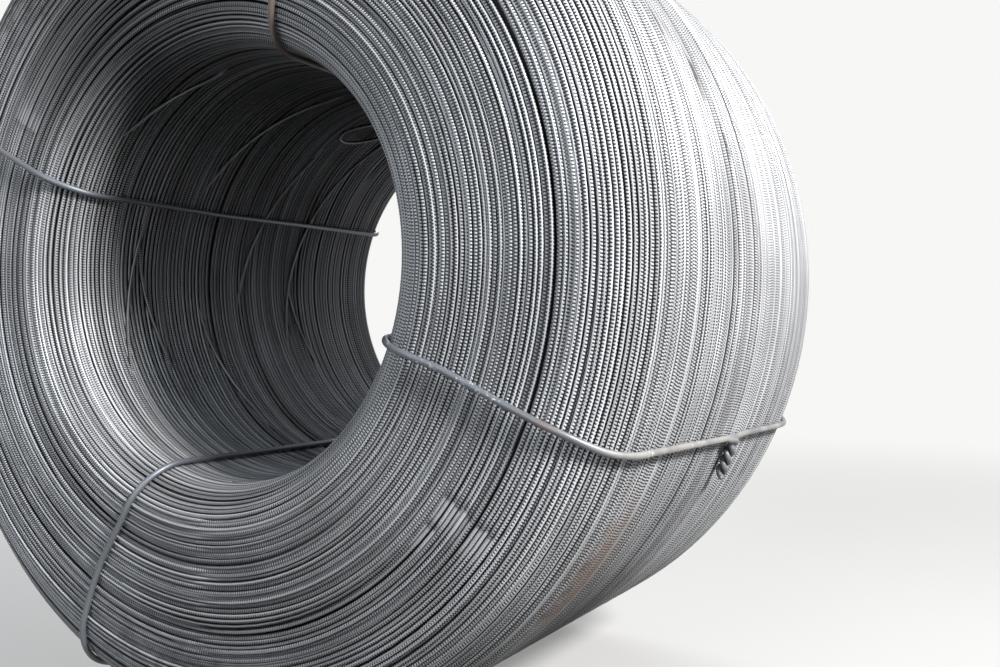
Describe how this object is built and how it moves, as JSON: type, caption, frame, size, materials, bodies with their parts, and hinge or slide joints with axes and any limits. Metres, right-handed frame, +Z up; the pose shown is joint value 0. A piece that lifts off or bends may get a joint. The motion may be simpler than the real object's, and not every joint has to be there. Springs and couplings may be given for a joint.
{
  "type": "coil of ribbed reinforcing wire",
  "caption": "Thick hollow coil of ribbed steel wire lying on its round side, tied round the section with twisted plain wire ties.",
  "frame": {"origin": "on the floor, under the middle of the coil", "axes": "+Y along the coil's axis from the front end to the back end, +X to the right as seen from the front, +Z up"},
  "size_m": [0.9699, 0.6236, 0.97],
  "materials": {
    "coil_wire": "cold rolled ribbed wire, mill grey with light dust",
    "tie_wire": "plain hot rolled wire, dark scale scuffed bright in places"
  },
  "bodies": {
    "root": {"coil": "coil_wire", "tie_right": "tie_wire", "tie_bottom": "tie_wire", "tie_left": "tie_wire", "tie_top": "tie_wire"}
  },
  "joints": []
}
